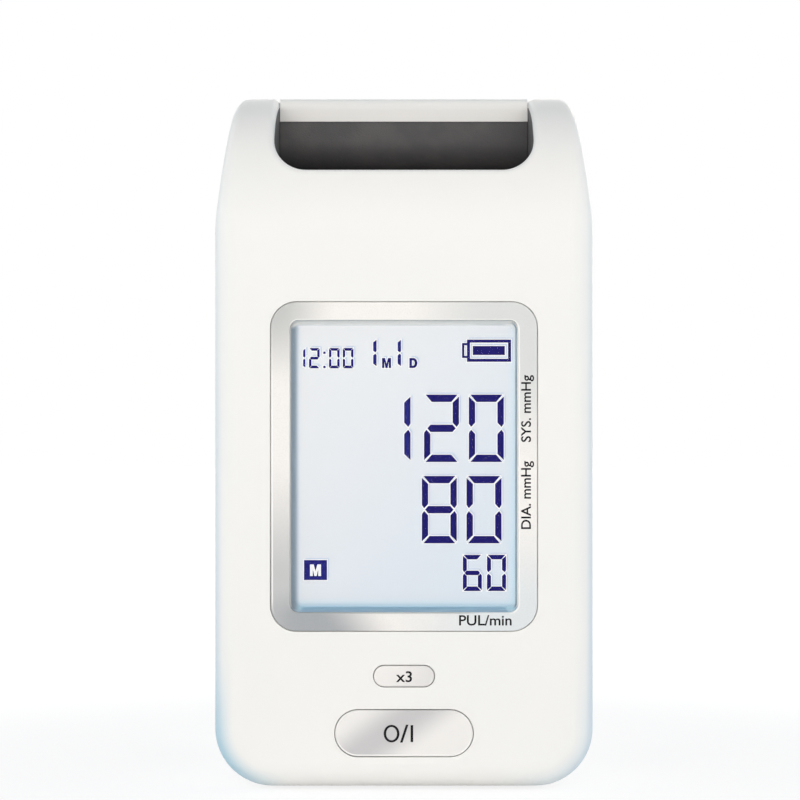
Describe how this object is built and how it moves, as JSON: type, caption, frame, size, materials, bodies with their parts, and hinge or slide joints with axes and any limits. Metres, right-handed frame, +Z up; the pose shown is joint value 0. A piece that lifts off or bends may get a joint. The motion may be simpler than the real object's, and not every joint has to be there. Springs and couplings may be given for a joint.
{
  "type": "arm-in blood pressure monitor",
  "caption": "Upright arm-in blood pressure monitor: portrait display and push buttons in front, a cuff-lined arm tunnel from side to side behind them, and a carry handle across the top.",
  "frame": {"origin": "under the middle of the object, in the plane of its feet's soles", "axes": "+X to the user's right along the arm tunnel, +Y from the display to the back, +Z up"},
  "size_m": [0.109, 0.1636, 0.205],
  "materials": {
    "shell_white": "satin off-white moulding, faint fine grain",
    "ring_grey": "smooth light grey moulding",
    "handle_dark": "matt dark grey, fine texture",
    "grip_dark": "soft-touch dark grey",
    "cuff_fabric": "knitted grey-blue sleeve",
    "bladder_rubber": "matt rubber",
    "liner_plastic": "plain moulding",
    "trim_silver": "pearl silver lacquer",
    "lens_clear": "clear acrylic",
    "gasket_blue": "slate blue surround",
    "lcd_panel": "pale reflective display",
    "backlight": "diffuser",
    "button_pearl": "pearl moulding",
    "board_green": "glass-fibre board",
    "chip_black": "moulded package",
    "inner_plastic": "plain natural moulding",
    "silicone": "translucent silicone",
    "rubber_dark": "matt rubber",
    "steel": "plated steel",
    "copper_wire": "enamelled winding",
    "cell_label": "plain printed sleeve",
    "contact_nickel": "nickel plate"
  },
  "bodies": {
    "housing": {"air_manifold": "inner_plastic", "base_screws": "steel", "battery_box": "inner_plastic", "battery_cell_1": "cell_label", "battery_cell_2": "cell_label", "battery_cell_3": "cell_label", "battery_cell_4": "cell_label", "battery_contacts": "contact_nickel", "battery_springs": "contact_nickel", "board_plugs": "inner_plastic", "board_screws": "steel", "buzzer": "chip_black", "capacitor": "steel", "circuit_board": "board_green", "cuff_bladder": "bladder_rubber", "cuff_hose": "silicone", "cuff_sleeve": "cuff_fabric", "dc_jack": "chip_black", "dc_jack_pin": "contact_nickel", "display_bezel": "trim_silver", "display_lens": "lens_clear", "front_cover": "shell_white", "handle_cap": "shell_white", "handle_grip": "grip_dark", "handle_screws": "steel", "handle_well": "handle_dark", "lcd_backlight": "backlight", "lcd_glass": "lcd_panel", "lcd_holder": "inner_plastic", "lens_gasket": "gasket_blue", "main_housing": "shell_white", "mode_dome": "silicone", "power_dome": "silicone", "pressure_sensor": "inner_plastic", "processor_chip": "chip_black", "pump_body": "chip_black", "pump_diaphragm": "rubber_dark", "pump_end_cap": "chip_black", "pump_foam": "rubber_dark", "pump_head": "chip_black", "pump_hose": "silicone", "pump_motor_can": "steel", "pump_screws": "steel", "pump_strap": "steel", "rubber_feet": "rubber_dark", "sensor_hose": "silicone", "tunnel_liner": "liner_plastic", "tunnel_ring_left": "ring_grey", "tunnel_ring_right": "ring_grey", "valve_coil": "copper_wire", "valve_frame": "steel", "valve_nozzle": "inner_plastic", "valve_spring": "contact_nickel", "well_screws": "steel"},
    "power_button": {"power_button": "button_pearl"},
    "mode_button": {"mode_button": "button_pearl"},
    "battery_door": {"battery_door": "shell_white"},
    "pump_rotor": {"pump_rotor": "steel"},
    "valve_plunger": {"valve_plunger": "steel"}
  },
  "joints": [
    {"name": "power_button_press", "type": "slide", "parent": "housing", "child": "power_button", "axis": [0, 1, 0], "range_m": [0, 0.0008], "stiffness_N_per_m": 900, "springref_m": -0.0006, "deforming": ["power_dome"]},
    {"name": "mode_button_press", "type": "slide", "parent": "housing", "child": "mode_button", "axis": [0, 1, 0], "range_m": [0, 0.0008], "stiffness_N_per_m": 900, "springref_m": -0.0006, "deforming": ["mode_dome"]},
    {"name": "battery_door_hinge", "type": "hinge", "parent": "housing", "child": "battery_door", "pos_m": [0, 0.0807, 0.0081], "axis": [-1, 0, 0], "range_deg": [0, 95]},
    {"name": "pump_rotor_spin", "type": "hinge", "parent": "housing", "child": "pump_rotor", "pos_m": [-0.02, -0.048, 0.018], "axis": [1, 0, 0], "continuous": true},
    {"name": "valve_plunger_slide", "type": "slide", "parent": "housing", "child": "valve_plunger", "axis": [0, -1, 0], "range_m": [0, 0.0008], "stiffness_N_per_m": 250, "springref_m": -0.0012, "deforming": ["valve_spring"]}
  ]
}
